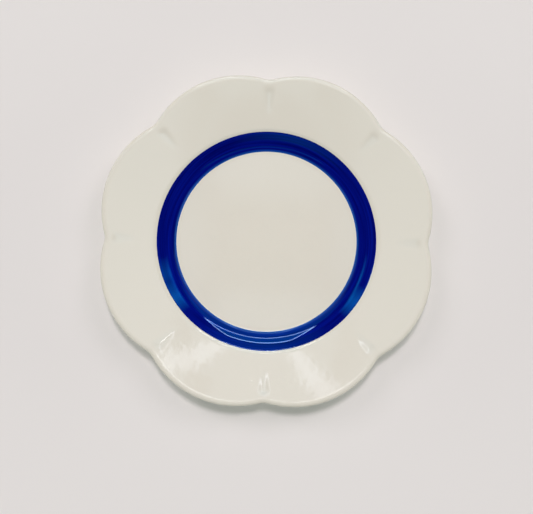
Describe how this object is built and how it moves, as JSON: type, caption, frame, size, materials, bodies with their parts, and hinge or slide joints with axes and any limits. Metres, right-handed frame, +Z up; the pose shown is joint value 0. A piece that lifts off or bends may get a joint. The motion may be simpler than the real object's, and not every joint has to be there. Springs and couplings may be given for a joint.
{
  "type": "bread and butter plate",
  "caption": "Small petal-rimmed glazed porcelain plate with a round flat well, a painted cobalt band on the wall of the well, and an unglazed foot ring underneath.",
  "frame": {"origin": "on the table under the centre of the well, in the plane of the foot ring's bearing face", "axes": "+Z up out of the well; +X and +Y each run through a notch between two petals"},
  "size_m": [0.1546, 0.1546, 0.0175],
  "materials": {
    "biscuit": "bare fired porcelain, matt and slightly rough, seen only on the foot",
    "glaze": "glossy warm white glaze",
    "cobalt": "glossy cobalt blue enamel, brushed on round the plate"
  },
  "bodies": {
    "root": {"porcelain_body": "biscuit", "face_glaze": "glaze", "base_glaze": "glaze", "blue_band": "cobalt"}
  },
  "joints": []
}
